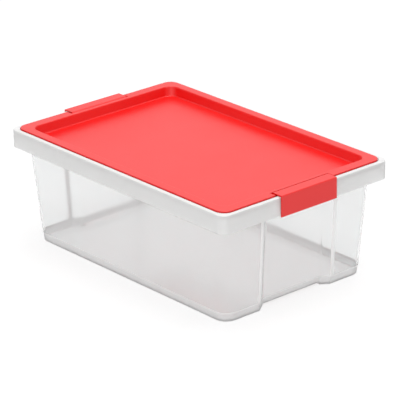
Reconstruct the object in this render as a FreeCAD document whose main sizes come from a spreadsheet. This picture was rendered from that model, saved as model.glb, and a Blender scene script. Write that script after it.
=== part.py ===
import FreeCAD, Part
import math
import os
import Sketcher

# Storage box for art supplies: a translucent tub, a lid sunk into its rim, and two clips hinged on the lid.
# Millimetres, +Z up, X along the box. The origin is the middle of the underside.

SIZES = {
    # Tub walls, measured outside just above the stacking foot
    "wall_length": 349.2,
    "wall_width": 219.6,
    "wall_corner": 17.0,
    "wall_draft": 4.0,        # degrees
    "wall_thickness": 2.0,
    # Stacking foot: the lowest band of the wall, set in so that it drops into the tray of the lid below
    "foot_height": 9.5,
    "foot_step": 0.7,
    "foot_round": 1.0,
    "floor_thickness": 2.2,
    # Recess in the middle of each end wall
    "recess_depth": 7.5,
    "recess_width": 90.0,     # across the flat middle
    "recess_run": 10.0,       # along Y, from the flat middle to the corner column
    "recess_drop": 10.0,      # from the ledge down to the recess's roof
    "recess_round": 2.5,
    "cavity_round": 0.8,      # the same edges, inside the tub
    "scoop_height": 3.5,      # finger scoop under the recess
    "scoop_run": 6.2,
    # Rim: ledge, upstand, lip and turned-down skirt
    "ledge_height": 138.0,
    "ledge_end": 6.4,         # from the wall's outer face to the lid's edge, at the ends
    "ledge_side": 4.2,        # the same, along the sides
    "lip_width": 5.2,
    "rim_rise": 5.5,          # from the ledge up to the lip
    "rim_corner": 10.5,
    "lip_round": 1.5,
    "seat_round": 0.6,
    "upstand_wall": 1.7,
    "skirt_wall": 1.8,
    "skirt_depth": 22.7,
    "skirt_round": 0.6,
    # Lid
    "lid_proud": 1.5,         # from the lip up to the lid's border
    "lid_corner": 12.5,
    "lid_shell": 2.0,
    "lid_play": 0.5,
    "lid_round": 0.7,
    "tray_depth": 12.0,
    "tray_corner": 12.0,
    "tray_slope": 9.5,        # degrees
    "tray_round": 1.2,
    "stack_play": 0.8,
    # Clips and the pockets in the lid that hold them
    "clip_width": 85.4,
    "clip_wall": 1.6,
    "clip_bend": 1.4,         # outer radius between the top plate and the face
    "clip_overhang": 1.2,     # how far the face reaches below the skirt
    "clip_round": 0.4,
    "face_play": 0.6,
    "plate_play": 0.6,        # between the lip and the clip's top plate
    "bead_height": 0.3,       # catch bead on the inside of the face
    "bead_radius": 0.6,
    "pocket_gap": 2.0,        # beside the clip
    "hinge_inset": 5.9,       # from the lid's edge to the pin
    "knuckle_radius": 3.1,
    "knuckle_play": 0.35,
    "pin_radius": 1.4,
    "pin_play": 0.05,
    "pin_end_play": 0.3,
}

DRAFT = "tan(Sizes.wall_draft * 1 deg)"


def wall_length(height, inset):
    """Length over the tub's end walls at a height, less an inset at each end."""
    return f"(Sizes.wall_length + 2 * ({height} - Sizes.foot_height) * {DRAFT} - 2 * ({inset}))"


def wall_width(height, inset):
    return f"(Sizes.wall_width + 2 * ({height} - Sizes.foot_height) * {DRAFT} - 2 * ({inset}))"


# Sizes that follow from those above, as sheet expressions
RECESS_TOP = "(Sizes.ledge_height - Sizes.recess_drop)"
RIM_TOP = "(Sizes.ledge_height + Sizes.rim_rise)"
SKIRT_BOTTOM = f"({RIM_TOP} - Sizes.skirt_depth)"
LID_TOP = f"({RIM_TOP} + Sizes.lid_proud)"
LID_LENGTH = f"({wall_length('Sizes.ledge_height', '0')} + 2 * Sizes.ledge_end)"
LID_WIDTH = f"({wall_width('Sizes.ledge_height', '0')} + 2 * Sizes.ledge_side)"
SEAT_LENGTH = f"({LID_LENGTH} + 2 * Sizes.lid_play)"
SEAT_WIDTH = f"({LID_WIDTH} + 2 * Sizes.lid_play)"
SEAT_CORNER = "(Sizes.lid_corner + Sizes.lid_play)"
RIM_LENGTH = f"({SEAT_LENGTH} + 2 * Sizes.lip_width)"
RIM_WIDTH = f"({SEAT_WIDTH} + 2 * Sizes.lip_width)"
TRAY_FLOOR = f"({LID_TOP} - Sizes.tray_depth)"
TRAY_INSET = "(Sizes.foot_step - Sizes.stack_play)"
HINGE_X = f"({LID_LENGTH} / 2 - Sizes.hinge_inset)"
HINGE_Z = f"({RIM_TOP} + Sizes.plate_play + Sizes.clip_wall - Sizes.knuckle_radius)"
POCKET_FLOOR = f"({HINGE_Z} - Sizes.knuckle_radius - Sizes.knuckle_play)"
POCKET_WIDTH = "(Sizes.clip_width + 2 * Sizes.pocket_gap)"

doc = FreeCAD.newDocument("storage_box")
sheet = doc.addObject("Spreadsheet::Sheet", "Sizes")
for row, (alias, value) in enumerate(SIZES.items(), 1):
    sheet.set(f"A{row}", alias)
    sheet.set(f"B{row}", str(value))
    sheet.setAlias(f"B{row}", alias)
doc.recompute()


def number(expression):
    """Value of a sheet expression."""
    return float(sheet.evalExpression(expression))


def new_body(label):
    body = doc.addObject("PartDesign::Body", label)
    body.Label = label
    return body


def dimension(expression, *constraint):
    """Sketch constraint whose value is a sheet expression, with that expression."""
    return Sketcher.Constraint(*constraint, number(expression)), expression


def relation(*constraint):
    """Sketch constraint that has no value."""
    return Sketcher.Constraint(*constraint), None


def constrain(sketch, constraints):
    """Add constraints to a sketch and bind the dimensions among them to the sheet."""
    indices = sketch.addConstraint([constraint for constraint, expression in constraints])
    for index, (constraint, expression) in zip(indices, constraints):
        if expression:
            sketch.setExpression(f"Constraints[{index}]", expression)


def at_place(geometry, end, x, y):
    """Constraints that hold one end of a sketch element at two expressions."""
    constraints = []
    for name, value, axis in (("DistanceX", x, -2), ("DistanceY", y, -1)):
        size = number(value)
        if abs(size) < 1e-9:
            constraints.append(relation("PointOnObject", geometry, end, axis))
        elif size > 0:
            constraints.append(dimension(value, name, -1, 1, geometry, end))
        else:
            constraints.append(dimension(f"-({value})", name, geometry, end, -1, 1))
    return constraints


def add_round(sketch, place, start, end, size):
    """Arc between two points on the sides of a corner, and which of its ends lie at the two points."""
    to_start = start - place
    to_end = end - place
    bisector = (to_start + to_end).normalize()
    centre = place + bisector * (size / math.sin(to_start.getAngle(to_end) / 2))
    left_turn = to_end.cross(to_start).z > 0
    angles = [math.atan2(spot.y - centre.y, spot.x - centre.x) for spot in (start, end)]
    circle = Part.Circle(centre, FreeCAD.Vector(0, 0, 1), size)
    arc = sketch.addGeometry(Part.ArcOfCircle(circle, *(angles if left_turn else reversed(angles))))
    return arc, (1, 2) if left_turn else (2, 1)


def add_outline(sketch, corners):
    """Closed outline through corners given as x, y and radius; a radius of None leaves the corner sharp."""
    places = [FreeCAD.Vector(number(x), number(y), 0) for x, y, radius in corners]
    ends = []
    for index, (x, y, radius) in enumerate(corners):
        before = (places[index - 1] - places[index]).normalize()
        after = (places[(index + 1) % len(places)] - places[index]).normalize()
        reach = number(radius or "0") / math.tan(before.getAngle(after) / 2)
        ends.append((places[index] + before * reach, places[index] + after * reach))
    sides = []
    for (near, start), (end, far) in zip(ends, ends[1:] + ends[:1]):
        sides.append(sketch.addGeometry(Part.LineSegment(start, end)))
    constraints = []
    for index, (x, y, radius) in enumerate(corners):
        last_side = sides[index - 1]
        next_side = sides[index]
        if radius is None:
            constraints.append(relation("Coincident", last_side, 2, next_side, 1))
            constraints += at_place(next_side, 1, x, y)
            continue
        arc, (first, last) = add_round(sketch, places[index], *ends[index], number(radius))
        corner = sketch.addGeometry(Part.Point(places[index]), True)
        constraints.append(relation("Tangent", last_side, 2, arc, first))
        constraints.append(relation("Tangent", arc, last, next_side, 1))
        constraints.append(relation("PointOnObject", corner, 1, last_side))
        constraints.append(relation("PointOnObject", corner, 1, next_side))
        constraints += at_place(corner, 1, x, y)
        constraints.append(dimension(radius, "Radius", arc))
    constrain(sketch, constraints)


def new_sketch(body, name, role, height="0"):
    """Empty sketch on one of the body's origin planes, raised along the plane's normal."""
    sketch = body.newObject("Sketcher::SketchObject", name)
    support = next(feature for feature in body.Origin.OriginFeatures if feature.Role == role)
    sketch.AttachmentSupport = [(support, "")]
    sketch.MapMode = "FlatFace"
    sketch.setExpression("AttachmentOffset.Base.z", height)
    return sketch


def level_sketch(body, name, height, *outlines):
    """Sketch of one or more outlines at a height."""
    sketch = new_sketch(body, name, "XY_Plane", height)
    for corners in outlines:
        add_outline(sketch, corners)
    return sketch


def side_sketch(body, name, corners):
    """Sketch of an outline in X and Z, at the middle of the box."""
    sketch = new_sketch(body, name, "XZ_Plane")
    add_outline(sketch, corners)
    return sketch


def circle_sketch(body, name, x, z, radius):
    """Sketch of a circle in X and Z, at the middle of the box."""
    sketch = new_sketch(body, name, "XZ_Plane")
    centre = FreeCAD.Vector(number(x), number(z), 0)
    circle = sketch.addGeometry(Part.Circle(centre, FreeCAD.Vector(0, 0, 1), number(radius)))
    constrain(sketch, at_place(circle, 3, x, z) + [dimension(radius, "Radius", circle)])
    return sketch


def extrude(body, kind, name, sketch, length, both_ways=False):
    """Pad or Pocket of a sketch, along its normal or to both sides of it."""
    feature = body.newObject(f"PartDesign::{kind}", name)
    feature.Profile = sketch
    feature.SideType = "Symmetric" if both_ways else "One side"
    feature.setExpression("Length", length)
    doc.recompute()


def loft(body, kind, name, *levels):
    """AdditiveLoft or SubtractiveLoft with straight sides, through levels given as height and outline."""
    sketches = [level_sketch(body, f"{name}_outline", *level) for level in levels]
    feature = body.newObject(f"PartDesign::{kind}", name)
    feature.Profile = sketches[0]
    feature.Sections = sketches[1:]
    feature.Ruled = True
    doc.recompute()


def fillet(body, name, radius, wanted):
    """Round every edge of the body's last feature that the test picks."""
    base = body.Tip
    edges = [f"Edge{index}" for index, edge in enumerate(base.Shape.Edges, 1) if wanted(edge.BoundBox)]
    feature = body.newObject("PartDesign::Fillet", name)
    feature.Base = (base, edges)
    feature.setExpression("Radius", radius)
    doc.recompute()


def at_height(box, height):
    return abs(box.ZMin - number(height)) < 1e-4 and abs(box.ZMax - number(height)) < 1e-4


def on_outline(box, length, width):
    """Whether an edge's box reaches the outline of a rectangle about the origin, and no further."""
    across_x = max(abs(box.XMin), abs(box.XMax)) - number(length) / 2
    across_y = max(abs(box.YMin), abs(box.YMax)) - number(width) / 2
    return abs(max(across_x, across_y)) < 1e-3


def rectangle(length, width, radius):
    """Corners of a rounded rectangle about the origin."""
    signs = ((1, -1), (1, 1), (-1, 1), (-1, -1))
    return [(f"{along} * {length} / 2", f"{across} * {width} / 2", radius) for along, across in signs]


def plain_outline(height, inset):
    """The tub's wall at a height, without the recesses."""
    return rectangle(wall_length(height, inset), wall_width(height, inset), f"Sizes.wall_corner - ({inset})")


def recessed_outline(height, inset, column_round):
    """The tub's wall at a height, with the recess in each end, set in evenly all round."""
    slant = "sqrt(Sizes.recess_run ^ 2 + Sizes.recess_depth ^ 2)"
    middle = f"(Sizes.recess_width / 2 + ({inset}) * ({slant} - Sizes.recess_run) / Sizes.recess_depth)"
    column = f"({middle} + Sizes.recess_run)"
    face = f"({wall_length(height, inset)} / 2)"
    side = f"({wall_width(height, inset)} / 2)"
    corner_round = f"Sizes.wall_corner - ({inset})"
    quarter = [
        (face, side, corner_round),
        (face, column, column_round),
        (f"({face} - Sizes.recess_depth)", middle, f"Sizes.recess_round + ({inset})"),
    ]
    mirrored = quarter[::-1]
    return (
        [(x, f"-{y}", radius) for x, y, radius in quarter] + mirrored
        + [(f"-{x}", y, radius) for x, y, radius in quarter]
        + [(f"-{x}", f"-{y}", radius) for x, y, radius in mirrored]
    )


def make_bin():
    body = new_body("bin")
    wall = "Sizes.wall_thickness"
    step_height = f"(Sizes.foot_height + {wall} / 2)"
    recess_roof = f"({RECESS_TOP} + {wall})"

    def tub_loft(kind, name, column_round, *levels):
        """Loft of the wall with its recesses, through levels given as height and inset."""
        outlines = [recessed_outline(height, inset, column_round) for height, inset in levels]
        loft(body, kind, name, *((height, outline) for (height, inset), outline in zip(levels, outlines)))

    # Outside: foot, whose lowest edge is rounded in steps, wall with its recesses, and plain wall above them
    foot_levels = []
    for angle in (0, 45, 90):
        rise = f"(Sizes.foot_round * (1 - cos({angle} deg)))"
        foot_levels.append((rise, f"Sizes.foot_step + Sizes.foot_round * (1 - sin({angle} deg))"))
    foot_levels.append(("Sizes.foot_height", "Sizes.foot_step"))
    tub_loft("AdditiveLoft", "foot", "Sizes.recess_round", *foot_levels)
    wall_levels = [("Sizes.foot_height", "0"), (RECESS_TOP, "0")]
    tub_loft("AdditiveLoft", "wall", "Sizes.recess_round", *wall_levels)
    loft(body, "AdditiveLoft", "upper_wall",
         *((height, plain_outline(height, "0")) for height in (RECESS_TOP, "Sizes.ledge_height")))

    # Rim: upstand around the lid's seat, lip and skirt
    upstand = rectangle(f"({SEAT_LENGTH} + 2 * Sizes.upstand_wall)",
                        f"({SEAT_WIDTH} + 2 * Sizes.upstand_wall)", f"{SEAT_CORNER} + Sizes.upstand_wall")
    upstand_sketch = level_sketch(body, "upstand_outline", f"Sizes.ledge_height - {wall}", upstand)
    extrude(body, "Pad", "upstand", upstand_sketch, f"Sizes.rim_rise + {wall}")
    rim = rectangle(RIM_LENGTH, RIM_WIDTH, "Sizes.rim_corner")
    lip_sketch = level_sketch(body, "lip_outline", f"{RIM_TOP} - Sizes.skirt_wall", rim)
    extrude(body, "Pad", "lip", lip_sketch, "Sizes.skirt_wall")
    skirt_inside = rectangle(f"({RIM_LENGTH} - 2 * Sizes.skirt_wall)",
                             f"({RIM_WIDTH} - 2 * Sizes.skirt_wall)", "Sizes.rim_corner - Sizes.skirt_wall")
    skirt_sketch = level_sketch(body, "skirt_outline", SKIRT_BOTTOM, rim, skirt_inside)
    extrude(body, "Pad", "skirt", skirt_sketch, "Sizes.skirt_depth")

    # Inside: the lid's seat, and the cavity, which follows the outside
    seat = rectangle(SEAT_LENGTH, SEAT_WIDTH, SEAT_CORNER)
    seat_sketch = level_sketch(body, "seat_outline", RIM_TOP, seat)
    extrude(body, "Pocket", "seat", seat_sketch, "Sizes.rim_rise")
    loft(body, "SubtractiveLoft", "upper_cavity",
         *((height, plain_outline(height, wall)) for height in (recess_roof, "Sizes.ledge_height")))
    foot_inset = f"Sizes.foot_step + {wall}"
    tub_loft("SubtractiveLoft", "cavity", "Sizes.cavity_round", (step_height, wall), (recess_roof, wall))
    tub_loft("SubtractiveLoft", "foot_cavity", "Sizes.cavity_round", ("Sizes.floor_thickness", foot_inset),
             (step_height, foot_inset))

    # Finger scoop under each recess: a ridge on the floor inside, then the cut below it
    slope = "(Sizes.scoop_height / Sizes.scoop_run)"
    ridge_rise = f"({wall} * sqrt(1 + {slope} ^ 2))"
    scoop_end = f"({wall_length('Sizes.scoop_height', 'Sizes.foot_step + Sizes.recess_depth')} / 2)"
    scoop_start = f"({scoop_end} - Sizes.scoop_run)"
    ridge_low = "(Sizes.floor_thickness / 2)"
    ridge_end = f"({scoop_end} - {wall} / 2)"
    ridge = [
        (f"({scoop_start} + ({ridge_low} - {ridge_rise}) / {slope})", ridge_low),
        (ridge_end, ridge_low),
        (ridge_end, f"({ridge_end} - {scoop_start}) * {slope} + {ridge_rise}"),
    ]
    beyond = f"({scoop_end} + Sizes.recess_depth + 2 * Sizes.foot_step)"
    scoop = [(scoop_start, "0"), (beyond, "0"), (beyond, f"({beyond} - {scoop_start}) * {slope}")]
    for side in ("1", "-1"):
        for kind, name, outline in (("Pad", "scoop_ridge", ridge), ("Pocket", "scoop", scoop)):
            corners = [(f"{side} * {x}", z, None) for x, z in outline]
            extrude(body, kind, name, side_sketch(body, f"{name}_outline", corners), "Sizes.recess_width",
                    both_ways=True)

    fillet(body, "lip_edge", "Sizes.lip_round",
           lambda box: at_height(box, RIM_TOP) and on_outline(box, RIM_LENGTH, RIM_WIDTH))
    fillet(body, "seat_edge", "Sizes.seat_round",
           lambda box: at_height(box, RIM_TOP) and on_outline(box, SEAT_LENGTH, SEAT_WIDTH))
    fillet(body, "skirt_edge", "Sizes.skirt_round",
           lambda box: at_height(box, SKIRT_BOTTOM) and on_outline(box, RIM_LENGTH, RIM_WIDTH))
    return body


def make_lid():
    body = new_body("lid")
    shell = "Sizes.lid_shell"
    border_height = "(Sizes.rim_rise + Sizes.lid_proud)"
    border = rectangle(LID_LENGTH, LID_WIDTH, "Sizes.lid_corner")
    border_sketch = level_sketch(body, "border_outline", "Sizes.ledge_height", border)
    extrude(body, "Pad", "border", border_sketch, border_height)
    hollow = rectangle(f"({LID_LENGTH} - 2 * {shell})", f"({LID_WIDTH} - 2 * {shell})",
                       f"Sizes.lid_corner - {shell}")
    hollow_sketch = level_sketch(body, "hollow_outline", f"{LID_TOP} - {shell}", hollow)
    extrude(body, "Pocket", "hollow", hollow_sketch, f"{border_height} - {shell}")

    # Sunk tray that takes the foot of a box stacked on top: its shell first
    flare = "(Sizes.tray_depth * tan(Sizes.tray_slope * 1 deg))"

    def tray_outline(offset, growth):
        """The foot's outline with its play, offset by a shell and grown by the slope of the tray's walls."""
        inset = f"{TRAY_INSET} - ({offset}) - ({growth})"
        corner = f"Sizes.tray_corner + ({offset})"
        return rectangle(wall_length("0", inset), wall_width("0", inset), corner)

    loft(body, "AdditiveLoft", "tray_shell", (f"{TRAY_FLOOR} - {shell}", tray_outline(shell, "0")),
         (LID_TOP, tray_outline(shell, flare)))

    # Pocket at each end for a clip: a block under the border, then the pocket and the pin's bore in it
    block_inner = f"({wall_length('0', TRAY_INSET)} / 2 + {shell} * 3 / 4)"
    block_half = f"({POCKET_WIDTH} / 2 + {shell})"
    pocket_inner = f"({HINGE_X} - Sizes.knuckle_radius - Sizes.knuckle_play)"
    lid_half = f"({LID_LENGTH} / 2)"
    pocket_half = f"({POCKET_WIDTH} / 2)"
    past_edge = f"({lid_half} + {shell})"
    bore_radius = "Sizes.pin_radius + Sizes.pin_play"
    for side in ("1", "-1"):
        def end_sketch(name, height, inner, outer, half):
            places = ((inner, f"-{half}"), (outer, f"-{half}"), (outer, half), (inner, half))
            return level_sketch(body, name, height, [(f"{side} * {x}", y, None) for x, y in places])

        block = end_sketch("block_outline", "Sizes.ledge_height", block_inner, lid_half, block_half)
        extrude(body, "Pad", "pocket_block", block, border_height)
        pocket = end_sketch("pocket_outline", LID_TOP, pocket_inner, past_edge, pocket_half)
        extrude(body, "Pocket", "pocket", pocket, f"{LID_TOP} - {POCKET_FLOOR}")
        bore = circle_sketch(body, "bore_outline", f"{side} * {HINGE_X}", HINGE_Z, bore_radius)
        extrude(body, "Pocket", "pin_bore", bore, f"2 * {block_half}", both_ways=True)

    loft(body, "SubtractiveLoft", "tray", (TRAY_FLOOR, tray_outline("0", "0")),
         (LID_TOP, tray_outline("0", flare)))
    fillet(body, "border_edge", "Sizes.lid_round",
           lambda box: at_height(box, LID_TOP) and on_outline(box, LID_LENGTH, LID_WIDTH))
    tray_mouth = wall_length("0", f"{TRAY_INSET} - {flare}"), wall_width("0", f"{TRAY_INSET} - {flare}")
    fillet(body, "tray_edge", "Sizes.tray_round",
           lambda box: at_height(box, LID_TOP) and on_outline(box, *tray_mouth))
    fillet(body, "tray_floor_edge", "Sizes.tray_round", lambda box: at_height(box, TRAY_FLOOR))
    return body


def make_clip(label, side):
    """Clip about its own pin, with its face towards +X, then set on the lid at one end."""
    body = new_body(label)
    plate_top = "Sizes.knuckle_radius"
    plate_under = "(Sizes.knuckle_radius - Sizes.clip_wall)"
    face_inner = f"({RIM_LENGTH} / 2 + Sizes.face_play - {HINGE_X})"
    face_outer = f"({face_inner} + Sizes.clip_wall)"
    bottom = f"({SKIRT_BOTTOM} - Sizes.clip_overhang - {HINGE_Z})"
    section = side_sketch(body, "clip_section", [
        ("0", plate_top, None),
        (face_outer, plate_top, "Sizes.clip_bend"),
        (face_outer, bottom, "Sizes.clip_round"),
        (face_inner, bottom, None),
        (face_inner, plate_under, None),
        ("0", plate_under, None),
    ])
    extrude(body, "Pad", "plate_and_face", section, "Sizes.clip_width", both_ways=True)
    knuckle = circle_sketch(body, "knuckle_outline", "0", "0", "Sizes.knuckle_radius")
    extrude(body, "Pad", "knuckle", knuckle, "Sizes.clip_width", both_ways=True)
    pin = circle_sketch(body, "pin_outline", "0", "0", "Sizes.pin_radius")
    pin_length = f"{POCKET_WIDTH} + 2 * Sizes.lid_shell - 2 * Sizes.pin_end_play"
    extrude(body, "Pad", "pins", pin, pin_length, both_ways=True)
    bead_x = f"({face_inner} - Sizes.bead_height + Sizes.bead_radius)"
    bead = circle_sketch(body, "bead_outline", bead_x, f"{bottom} + Sizes.bead_radius", "Sizes.bead_radius")
    extrude(body, "Pad", "catch_bead", bead, "Sizes.clip_width", both_ways=True)

    turn = FreeCAD.Rotation(FreeCAD.Vector(0, 0, 1), 0 if side == "1" else 180)
    body.Placement = FreeCAD.Placement(FreeCAD.Vector(0, 0, 0), turn)
    body.setExpression("Placement.Base.x", f"{side} * {HINGE_X}")
    body.setExpression("Placement.Base.z", HINGE_Z)
    doc.recompute()
    return body


parts = [make_bin(), make_lid(), make_clip("right_clip", "1"), make_clip("left_clip", "-1")]
doc.recompute()

for item in doc.Objects:
    if "Invalid" in item.State or "Error" in item.State:
        raise RuntimeError(f"{item.Name} failed: {item.State}")
for part in parts:
    if part.Shape.isNull() or not part.Shape.isValid() or len(part.Shape.Solids) != 1:
        raise RuntimeError(f"{part.Label} is not one valid solid")

os.makedirs("parts", exist_ok=True)
for part in parts:
    part.Shape.exportStep(os.path.join("parts", f"{part.Label}.step"))
    print(part.Label, "volume", round(part.Shape.Volume), "mm3", part.Shape.BoundBox)
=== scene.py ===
import math

import bmesh
import bpy
from mathutils import Matrix, Vector


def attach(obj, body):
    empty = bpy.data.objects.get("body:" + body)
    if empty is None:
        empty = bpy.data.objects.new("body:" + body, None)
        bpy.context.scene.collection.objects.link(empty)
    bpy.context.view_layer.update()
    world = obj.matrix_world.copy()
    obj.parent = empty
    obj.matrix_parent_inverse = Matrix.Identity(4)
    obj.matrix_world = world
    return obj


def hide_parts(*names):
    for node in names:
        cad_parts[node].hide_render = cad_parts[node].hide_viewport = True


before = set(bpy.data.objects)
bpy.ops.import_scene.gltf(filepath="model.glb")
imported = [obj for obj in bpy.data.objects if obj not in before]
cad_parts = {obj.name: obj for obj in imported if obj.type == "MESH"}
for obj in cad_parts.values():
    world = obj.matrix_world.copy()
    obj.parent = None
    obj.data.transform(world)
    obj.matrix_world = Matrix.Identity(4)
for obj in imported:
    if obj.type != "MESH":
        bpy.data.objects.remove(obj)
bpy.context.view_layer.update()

# Camera, fitted to the photograph: angles in degrees, lengths in metres
VIEW_AZIMUTH = 49.61
VIEW_ELEVATION = 22.0
VIEW_ROLL = -1.16
VIEW_DISTANCE = 3.0444
VIEW_TARGET = Vector((0.0, 0.0, 0.06))
VIEW_SLIDE_RIGHT = 0.00369
VIEW_SLIDE_UP = 0.01027
VIEW_END = 50.0
LENS_MM = 228.35
SENSOR_MM = 36.0

# Lamps: places and side in metres, power in watts
OVERHEAD_PLACE = Vector((0.0, 0.3, 2.4))
OVERHEAD_WATTS = 35.0
FRONT_PLACE = Vector((1.2, -2.0, 1.2))
FRONT_WATTS = 14.0
LAMP_SIDE = 2.0

# Light levels, and how often light may turn on its way through the plastic's many faces
SKY_LIGHT = 0.60
SKY_SEEN = 1.0
FLOOR_GLOW = 0.77
LIGHT_BOUNCES = 32

# The floor's half side and its distance under the box, in metres
FLOOR_HALF = 6.0
FLOOR_DROP = 0.0004

# Colours, linear
RED = (0.80, 0.004, 0.004, 1.0)
RED_PALE = (0.82, 0.008, 0.006, 1.0)
CLEAR = (0.978, 0.990, 0.990, 1.0)
MILKY = (0.985, 0.985, 0.98, 1.0)
# The foot's milky colour is greyer than the rest: partly its own tone, partly painted shade of the band near
# the floor
FOOT_MILKY_PAINTED_SHADE = (0.93, 0.935, 0.935, 1.0)
LIP_MILKY = (0.88, 0.88, 0.875, 1.0)
WHITE = (1.0, 1.0, 1.0, 1.0)
FLOOR_WHITE = (0.85, 0.85, 0.85, 1.0)
FLOOR_SHADE = (0.27, 0.27, 0.27, 1.0)

# Plastics: refraction, the share of light that each lets through, and the range of its roughness
RED_REFRACTION = 1.55
CLEAR_REFRACTION = 1.49
WALL_CLARITY = 0.92
SKIRT_CLARITY = 0.45
LIP_CLARITY = 0.15
FOOT_CLARITY = 0.50
# The bends' nearly opaque milky plastic is a painted highlight
HIGHLIGHT_STRIP_CLARITY = 0.08
RED_ROUGHNESS = (0.29, 0.37)
WALL_ROUGHNESS = (0.08, 0.12)
MILKY_ROUGHNESS = (0.34, 0.44)
FOOT_ROUGHNESS = (0.32, 0.42)

# Noises: scale and detail
RED_FLOW = (18.0, 3.0)
RED_GRAIN = (2600.0, 2.0)
WALL_HAZE = (30.0, 4.0)
WALL_WAVE = (14.0, 1.0)
MILKY_HAZE = (40.0, 4.0)
MILKY_GRAIN = (1800.0, 2.0)

# Reliefs: strength, and height in metres
RED_RELIEF = (0.10, 0.0002)
WALL_RELIEF = (0.02, 0.002)
MILKY_RELIEF = (0.15, 0.0002)
FOOT_RELIEF = (0.10, 0.0002)

# The bin's sizes in millimetres, the same as the solid that it stands for
MM = 0.001
WALL_LENGTH = 349.2
WALL_WIDTH = 219.6
WALL_CORNER = 17.0
WALL_SLOPE = math.tan(math.radians(4.0))
WALL = 2.0
FOOT_HEIGHT = 9.5
FOOT_STEP = 0.7
FOOT_ROUND = 1.0
STEP_ROUND = 0.3
FLOOR_THICKNESS = 2.2
FLOOR_ROUND = 1.2
RECESS_DEPTH = 7.5
RECESS_WIDTH = 90.0
RECESS_RUN = 10.0
RECESS_TOP = 128.0
RECESS_ROUND = 2.5
CAVITY_ROUND = 0.8
SCOOP_HEIGHT = 3.5
SCOOP_RUN = 6.2
LEDGE_HEIGHT = 138.0
SEAT_OVER_END = 6.9
SEAT_OVER_SIDE = 4.7
SEAT_CORNER = 13.0
SEAT_ROUND = 0.6
UPSTAND_WALL = 1.7
LIP_WIDTH = 5.2
LIP_ROUND = 1.5
RIM_TOP = 143.5
RIM_CORNER = 10.5
SKIRT_WALL = 1.8
SKIRT_BOTTOM = 120.8
SKIRT_ROUND = 0.6

# Widths of the pale strips above the foot and beside the recesses' bends, in millimetres: painted highlights
# of the foot's ledge and of the bends
HIGHLIGHT_ABOVE_FOOT = 1.6
HIGHLIGHT_BESIDE_BEND = 3.5

# How far past the recess's middle a point still counts as part of it, in millimetres
SCOOP_MARGIN = 0.1

# Points along each rounded corner of an outline, and along each rounded edge
CORNER_STEPS = 20
RECESS_STEPS = 6
EDGE_STEPS = 5

# The skin's joining distance in metres, the angle in degrees past which its edges are sharp, and how strongly
# its large faces lead the shading
JOIN_DISTANCE = 1e-6
SHARP_ANGLE = 35.0
LARGE_FACE_WEIGHT = 100

# Places in the bin's list of materials, and last the outside of the recessed wall, clear with pale bends
# painted as highlights; the pale zone also holds the painted highlight strip above the foot
CLEAR_ZONE, RIM_ZONE, LIP_ZONE, FOOT_ZONE, PAINTED_HIGHLIGHT_ZONE, WALL_ZONE = range(6)


def new_material(name):
    material = bpy.data.materials.new(name)
    material.use_nodes = True
    tree = material.node_tree
    tree.nodes.clear()
    output = tree.nodes.new("ShaderNodeOutputMaterial")
    return material, tree, output


def add_node(tree, kind, **inputs):
    """New node with the given input values; an underscore in a name stands for a space."""
    node = tree.nodes.new(kind)
    for name, value in inputs.items():
        node.inputs[name.replace("_", " ")].default_value = value
    return node


def noise(tree, scale, detail):
    """Noise that stays with the object."""
    place = tree.nodes.new("ShaderNodeTexCoord")
    node = add_node(tree, "ShaderNodeTexNoise", Scale=scale, Detail=detail)
    tree.links.new(place.outputs["Object"], node.inputs["Vector"])
    return node.outputs["Fac"]


def map_range(tree, source, low, high):
    node = add_node(tree, "ShaderNodeMapRange", To_Min=low, To_Max=high)
    tree.links.new(source, node.inputs["Value"])
    return node.outputs["Result"]


def new_plastic(name, refraction, **inputs):
    """Material of one plastic, with its node tree and its shader."""
    material, tree, output = new_material(name)
    shader = add_node(tree, "ShaderNodeBsdfPrincipled", IOR=refraction, **inputs)
    tree.links.new(shader.outputs["BSDF"], output.inputs["Surface"])
    return material, tree, shader


def texture(tree, shader, gloss, roughness, surface, relief):
    """Let one noise vary the roughness and another raise the surface."""
    tree.links.new(map_range(tree, gloss, *roughness), shader.inputs["Roughness"])
    strength, height = relief
    bump = add_node(tree, "ShaderNodeBump", Strength=strength, Distance=height)
    tree.links.new(surface, bump.inputs["Height"])
    tree.links.new(bump.outputs["Normal"], shader.inputs["Normal"])


def red_plastic():
    """Satin moulded polypropylene: fine spark-eroded grain, faint flow variation in colour and gloss."""
    material, tree, shader = new_plastic("red_plastic", RED_REFRACTION)
    flow = noise(tree, *RED_FLOW)
    tint = add_node(tree, "ShaderNodeMixRGB", Color1=RED, Color2=RED_PALE)
    tree.links.new(flow, tint.inputs["Fac"])
    tree.links.new(tint.outputs["Color"], shader.inputs["Base Color"])
    texture(tree, shader, flow, RED_ROUGHNESS, noise(tree, *RED_GRAIN), RED_RELIEF)
    return material


def clear_plastic():
    """Natural polypropylene of the walls and floor, slightly hazy and wavy as thin mouldings are."""
    material, tree, shader = new_plastic("clear_plastic", CLEAR_REFRACTION, Base_Color=CLEAR,
                                         Transmission_Weight=WALL_CLARITY)
    texture(tree, shader, noise(tree, *WALL_HAZE), WALL_ROUGHNESS, noise(tree, *WALL_WAVE), WALL_RELIEF)
    return material


def milky_plastic(name, colour, clarity, roughness=MILKY_ROUGHNESS, relief=MILKY_RELIEF):
    """The same polypropylene where it is textured, bent or thicker, and so looks milky; its pale strips on
    the bends and above the foot are painted highlights, and the foot's greyer white is partly painted shade.
    """
    material, tree, shader = new_plastic(name, CLEAR_REFRACTION, Base_Color=colour,
                                         Transmission_Weight=clarity)
    texture(tree, shader, noise(tree, *MILKY_HAZE), roughness, noise(tree, *MILKY_GRAIN), relief)
    return material


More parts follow.
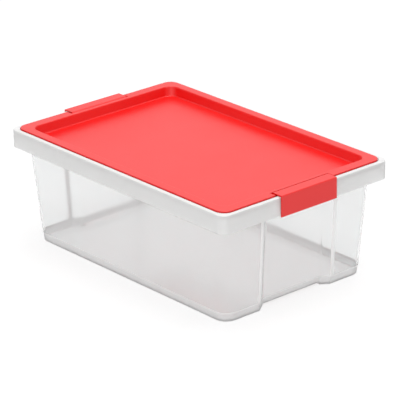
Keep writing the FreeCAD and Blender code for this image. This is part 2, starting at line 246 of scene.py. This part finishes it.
def bin_materials():
    """The bin's materials, in the order of its zones."""
    return [clear_plastic(),
            milky_plastic("frosted_skirt", MILKY, SKIRT_CLARITY),
            milky_plastic("frosted_lip", LIP_MILKY, LIP_CLARITY),
            # The foot's greyer white is partly painted shade
            milky_plastic("foot_milky_painted_shade", FOOT_MILKY_PAINTED_SHADE, FOOT_CLARITY, FOOT_ROUGHNESS, FOOT_RELIEF),
            # The bend material's pale white is a painted highlight of the bends and of the foot's ledge
            milky_plastic("frosted_bend_painted_highlight", MILKY, HIGHLIGHT_STRIP_CLARITY)]


def dress(node, material):
    """Give a CAD node one material all over."""
    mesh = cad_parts[node].data
    mesh.materials.clear()
    mesh.materials.append(material)


def rounded_corner(before, corner, after, radius, steps):
    """Points of the arc that rounds a corner of an outline."""
    corner = Vector(corner)
    one = (Vector(before) - corner).normalized()
    other = (Vector(after) - corner).normalized()
    half_angle = one.angle(other) / 2.0
    centre = corner + (one + other).normalized() * (radius / math.sin(half_angle))
    start = corner + one * (radius / math.tan(half_angle)) - centre
    end = corner + other * (radius / math.tan(half_angle)) - centre
    turn = math.copysign(math.pi - 2.0 * half_angle, start.cross(end))
    return [centre + Matrix.Rotation(turn * step / steps, 2) @ start for step in range(steps + 1)]


def ring(half_length, half_width, corner, height, inset=0.0, recessed=False, column_round=RECESS_ROUND):
    """Points of the bin's outline at a height, all round, as many whether the ends are recessed or plain."""
    slant = math.hypot(RECESS_RUN, RECESS_DEPTH)
    middle = RECESS_WIDTH / 2.0 + inset * (slant - RECESS_RUN) / RECESS_DEPTH
    column = middle + RECESS_RUN
    back = half_length - RECESS_DEPTH
    places = [(half_length, -half_width), (half_length, -column), (back, -middle), (back, middle),
              (half_length, column), (half_length, half_width)]
    rounds = [corner, column_round, RECESS_ROUND + inset, RECESS_ROUND + inset, column_round, corner]
    steps = [CORNER_STEPS] + [RECESS_STEPS] * 4 + [CORNER_STEPS]
    ends = [(-half_length, -half_width)] + places + [(-half_length, half_width)]
    arcs = [rounded_corner(*ends[index:index + 3], radius, count)
            for index, (radius, count) in enumerate(zip(rounds, steps))]
    arcs[1].insert(0, arcs[1][0] - Vector((0.0, HIGHLIGHT_BESIDE_BEND)))
    arcs[4].append(arcs[4][-1] + Vector((0.0, HIGHLIGHT_BESIDE_BEND)))
    if not recessed:
        for point in sum(arcs[1:5], []):
            point.x = half_length
    points = sum(arcs, [])
    points += [-point for point in points]
    return [Vector((point.x, point.y, height)) for point in points]


def wall_half(size, height, inset):
    """Half the wall's length or width at a height, which grows with its draft."""
    return size / 2.0 + (height - FOOT_HEIGHT) * WALL_SLOPE - inset


def wall_ring(height, inset, recessed=True, column_round=RECESS_ROUND):
    return ring(wall_half(WALL_LENGTH, height, inset), wall_half(WALL_WIDTH, height, inset),
                WALL_CORNER - inset, height, inset, recessed, column_round)


def rim_ring(height, outside, corner):
    """Outline around the lid's seat, a distance outside it."""
    return ring(wall_half(WALL_LENGTH, LEDGE_HEIGHT, -SEAT_OVER_END - outside),
                wall_half(WALL_WIDTH, LEDGE_HEIGHT, -SEAT_OVER_SIDE - outside), corner, height)


def quarter_turn():
    """Sine and cosine at even steps of a rounded edge."""
    angles = [math.radians(90.0 * step / EDGE_STEPS) for step in range(EDGE_STEPS + 1)]
    return [(math.sin(angle), math.cos(angle)) for angle in angles]


def scoop_start():
    """Distance from the bin's middle to where each finger scoop begins to rise."""
    return wall_half(WALL_LENGTH, SCOOP_HEIGHT, FOOT_STEP + RECESS_DEPTH) - SCOOP_RUN


def scooped(points, rise):
    """Raise the middle of each end over the finger scoop under it."""
    slope = SCOOP_HEIGHT / SCOOP_RUN
    for point in points:
        if abs(point.y) < RECESS_WIDTH / 2.0 + SCOOP_MARGIN:
            point.z = max(point.z, (abs(point.x) - scoop_start()) * slope + rise)
    return points


def outside_rings():
    """The bin's outside, from the underside up to the skirt's foot: each ring with the zone below it."""
    under = wall_half(WALL_LENGTH, 0.0, RECESS_DEPTH) - scoop_start()
    rings = [(wall_ring(0.0, under), CLEAR_ZONE)]
    for sine, cosine in quarter_turn():
        inset = FOOT_STEP + FOOT_ROUND * (1.0 - sine)
        rings.append((wall_ring(FOOT_ROUND * (1.0 - cosine), inset), FOOT_ZONE if sine else CLEAR_ZONE))
    upstand_corner = SEAT_CORNER + UPSTAND_WALL
    skirt_inside = LIP_WIDTH - SKIRT_WALL
    skirt_corner = RIM_CORNER - SKIRT_WALL
    rings += [(wall_ring(FOOT_HEIGHT - STEP_ROUND, FOOT_STEP), FOOT_ZONE),
              (wall_ring(FOOT_HEIGHT + STEP_ROUND, 0.0), FOOT_ZONE),
              # The pale strip above the foot's step is a painted highlight of the ledge
              (wall_ring(FOOT_HEIGHT + STEP_ROUND + HIGHLIGHT_ABOVE_FOOT, 0.0), PAINTED_HIGHLIGHT_ZONE),
              (wall_ring(RECESS_TOP, 0.0), WALL_ZONE),
              (wall_ring(RECESS_TOP, 0.0, recessed=False), CLEAR_ZONE),
              (wall_ring(LEDGE_HEIGHT - WALL, 0.0, recessed=False), CLEAR_ZONE),
              (rim_ring(LEDGE_HEIGHT - WALL, UPSTAND_WALL, upstand_corner), RIM_ZONE),
              (rim_ring(RIM_TOP - SKIRT_WALL, UPSTAND_WALL, upstand_corner), RIM_ZONE),
              (rim_ring(RIM_TOP - SKIRT_WALL, skirt_inside, skirt_corner), RIM_ZONE),
              (rim_ring(SKIRT_BOTTOM, skirt_inside, skirt_corner), RIM_ZONE)]
    return [(scooped(points, 0.0), zone) for points, zone in rings]


def rim_rings():
    """The outside of the skirt, the lip and the lid's seat."""
    rings = []
    for sine, cosine in quarter_turn():
        inset = SKIRT_ROUND * (1.0 - sine)
        height = SKIRT_BOTTOM + SKIRT_ROUND * (1.0 - cosine)
        rings.append((rim_ring(height, LIP_WIDTH - inset, RIM_CORNER - inset), RIM_ZONE))
    for sine, cosine in quarter_turn():
        inset = LIP_ROUND * (1.0 - cosine)
        height = RIM_TOP - LIP_ROUND * (1.0 - sine)
        zone = LIP_ZONE if sine else RIM_ZONE
        rings.append((rim_ring(height, LIP_WIDTH - inset, RIM_CORNER - inset), zone))
    for sine, cosine in quarter_turn():
        inset = SEAT_ROUND * (1.0 - sine)
        height = RIM_TOP - SEAT_ROUND * (1.0 - cosine)
        zone = CLEAR_ZONE if sine else LIP_ZONE
        rings.append((rim_ring(height, inset, SEAT_CORNER + inset), zone))
    rings.append((rim_ring(LEDGE_HEIGHT, 0.0, SEAT_CORNER), CLEAR_ZONE))
    return rings


def inside_rings():
    """The bin's inside, from the ledge down to the floor."""
    step_height = FOOT_HEIGHT + WALL / 2.0
    foot_inset = FOOT_STEP + WALL
    ridge_rise = WALL * math.hypot(1.0, SCOOP_HEIGHT / SCOOP_RUN)
    rings = [wall_ring(LEDGE_HEIGHT, WALL, recessed=False),
             wall_ring(RECESS_TOP + WALL, WALL, recessed=False),
             wall_ring(RECESS_TOP + WALL, WALL, column_round=CAVITY_ROUND),
             wall_ring(step_height + STEP_ROUND, WALL, column_round=CAVITY_ROUND),
             wall_ring(step_height - STEP_ROUND, foot_inset, column_round=CAVITY_ROUND)]
    for sine, cosine in quarter_turn():
        inset = foot_inset + FLOOR_ROUND * (1.0 - cosine)
        height = FLOOR_THICKNESS + FLOOR_ROUND * (1.0 - sine)
        rings.append(wall_ring(height, inset, column_round=CAVITY_ROUND))
    flat = wall_half(WALL_LENGTH, FLOOR_THICKNESS, RECESS_DEPTH) - scoop_start()
    rings.append(wall_ring(FLOOR_THICKNESS, flat, column_round=CAVITY_ROUND))
    return [(scooped(points, ridge_rise), CLEAR_ZONE) for points in rings]


def bend_steps():
    """Steps of a ring that lie on the recesses' outer bends and the edges of the wall beside them."""
    corner = CORNER_STEPS + 1
    bend = RECESS_STEPS + 2
    end = 2 * corner + 4 * bend - 2
    starts = [corner, end - corner - bend]
    return {start + step + turn for start in starts for step in range(bend - 1) for turn in (0, end)}


def skin_faces(rings):
    """Faces between the rings, closed by the underside and the inside floor, and each face's zone."""
    count = len(rings[0][0])
    last = (len(rings) - 1) * count
    bends = bend_steps()
    faces = [tuple(reversed(range(count))), tuple(range(last, last + count))]
    zones = [CLEAR_ZONE, CLEAR_ZONE]
    for low in range(0, last, count):
        ring_zone = rings[low // count + 1][1]
        for step in range(count):
            after = (step + 1) % count
            faces.append((low + step, low + after, low + count + after, low + count + step))
            # The bends' faces and the wall beside them take the pale milky plastic, a painted highlight
            wall_zone = PAINTED_HIGHLIGHT_ZONE if step in bends else CLEAR_ZONE
            zones.append(wall_zone if ring_zone == WALL_ZONE else ring_zone)
    return faces, zones


def join_points(mesh):
    """Join the points that rings share where only the recesses differ."""
    shape = bmesh.new()
    shape.from_mesh(mesh)
    bmesh.ops.remove_doubles(shape, verts=shape.verts, dist=JOIN_DISTANCE)
    shape.to_mesh(mesh)
    shape.free()


def bin_mesh():
    """The bin as one closed skin, smooth but for its sharp edges, its underside and its inside floor."""
    rings = outside_rings() + rim_rings() + inside_rings()
    points = [tuple(point * MM) for ring_points, zone in rings for point in ring_points]
    faces, zones = skin_faces(rings)
    mesh = bpy.data.meshes.new("bin_skin")
    mesh.from_pydata(points, [], faces)
    mesh.polygons.foreach_set("material_index", zones)
    join_points(mesh)
    mesh.set_sharp_from_angle(angle=math.radians(SHARP_ANGLE))
    for face in mesh.polygons:
        face.use_smooth = len(face.vertices) <= 4
    for material in bin_materials():
        mesh.materials.append(material)
    return mesh


def build_bin():
    skin = bpy.data.objects.new("bin_skin", bin_mesh())
    bpy.context.scene.collection.objects.link(skin)
    normals = skin.modifiers.new("even_normals", "WEIGHTED_NORMAL")
    normals.keep_sharp = True
    normals.weight = LARGE_FACE_WEIGHT
    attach(skin, "bin")
    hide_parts("bin")


def make_camera():
    azimuth, elevation, roll = (math.radians(angle) for angle in (VIEW_AZIMUTH, VIEW_ELEVATION, VIEW_ROLL))
    back = Vector((math.sin(azimuth) * math.cos(elevation), -math.cos(azimuth) * math.cos(elevation),
                   math.sin(elevation)))
    level = Vector((math.cos(azimuth), math.sin(azimuth), 0.0))
    upright = back.cross(level)
    right = math.cos(roll) * level + math.sin(roll) * upright
    up = math.cos(roll) * upright - math.sin(roll) * level
    camera = bpy.data.objects.new("camera", bpy.data.cameras.new("camera"))
    camera.data.lens = LENS_MM
    camera.data.sensor_width = SENSOR_MM
    camera.data.clip_end = VIEW_END
    place = VIEW_TARGET + back * VIEW_DISTANCE + right * VIEW_SLIDE_RIGHT + up * VIEW_SLIDE_UP
    camera.matrix_world = Matrix.Translation(place) @ Matrix((right, up, back)).transposed().to_4x4()
    bpy.context.scene.collection.objects.link(camera)
    bpy.context.scene.camera = camera


def seen_factor(tree):
    """1 where the camera sees the surface, straight or in a gloss or through the plastic, and 0 elsewhere."""
    path = tree.nodes.new("ShaderNodeLightPath")
    total = path.outputs["Is Camera Ray"]
    for name in ("Is Glossy Ray", "Is Transmission Ray"):
        larger = tree.nodes.new("ShaderNodeMath")
        larger.operation = "MAXIMUM"
        tree.links.new(total, larger.inputs[0])
        tree.links.new(path.outputs[name], larger.inputs[1])
        total = larger.outputs["Value"]
    return total


def make_world():
    """White surroundings, which light the box evenly and show in its gloss."""
    world = bpy.data.worlds.new("world")
    bpy.context.scene.world = world
    world.use_nodes = True
    tree = world.node_tree
    tree.nodes.clear()
    output = tree.nodes.new("ShaderNodeOutputWorld")
    light = add_node(tree, "ShaderNodeBackground", Color=WHITE, Strength=SKY_LIGHT)
    shown = add_node(tree, "ShaderNodeBackground", Color=WHITE, Strength=SKY_SEEN)
    mix = tree.nodes.new("ShaderNodeMixShader")
    tree.links.new(seen_factor(tree), mix.inputs["Fac"])
    tree.links.new(light.outputs["Background"], mix.inputs[1])
    tree.links.new(shown.outputs["Background"], mix.inputs[2])
    tree.links.new(mix.outputs["Shader"], output.inputs["Surface"])


def floor_white():
    """Pale floor: part of its white is its own, so that the box's shadow stays on it and is faint."""
    material, tree, output = new_material("floor_white")
    seen = seen_factor(tree)
    diffuse = tree.nodes.new("ShaderNodeBsdfDiffuse")
    colour = add_node(tree, "ShaderNodeMixRGB", Color1=FLOOR_WHITE, Color2=FLOOR_SHADE)
    tree.links.new(seen, colour.inputs["Fac"])
    tree.links.new(colour.outputs["Color"], diffuse.inputs["Color"])
    glow = add_node(tree, "ShaderNodeEmission", Color=WHITE)
    tree.links.new(map_range(tree, seen, 0.0, FLOOR_GLOW), glow.inputs["Strength"])
    both = tree.nodes.new("ShaderNodeAddShader")
    tree.links.new(diffuse.outputs["BSDF"], both.inputs[0])
    tree.links.new(glow.outputs["Emission"], both.inputs[1])
    tree.links.new(both.outputs["Shader"], output.inputs["Surface"])
    return material


def make_floor():
    mesh = bpy.data.meshes.new("floor")
    signs = [(-1.0, -1.0), (1.0, -1.0), (1.0, 1.0), (-1.0, 1.0)]
    corners = [(x * FLOOR_HALF, y * FLOOR_HALF, -FLOOR_DROP) for x, y in signs]
    mesh.from_pydata(corners, [], [(0, 1, 2, 3)])
    mesh.materials.append(floor_white())
    floor = bpy.data.objects.new("floor", mesh)
    bpy.context.scene.collection.objects.link(floor)


def make_lamp(name, place, watts):
    """Square soft light that faces the middle of the box."""
    light = bpy.data.lights.new(name, "AREA")
    light.shape = "SQUARE"
    light.size = LAMP_SIDE
    light.energy = watts
    lamp = bpy.data.objects.new(name, light)
    lamp.location = place
    lamp.rotation_euler = (VIEW_TARGET - place).to_track_quat("-Z", "Y").to_euler()
    bpy.context.scene.collection.objects.link(lamp)


def main():
    scene = bpy.context.scene
    scene.view_settings.view_transform = "Standard"
    scene.cycles.max_bounces = LIGHT_BOUNCES
    scene.cycles.transmission_bounces = LIGHT_BOUNCES
    make_camera()
    make_world()
    make_floor()
    make_lamp("overhead", OVERHEAD_PLACE, OVERHEAD_WATTS)
    make_lamp("front", FRONT_PLACE, FRONT_WATTS)
    build_bin()
    red = red_plastic()
    for node in ("lid", "right_clip", "left_clip"):
        dress(node, red)


main()
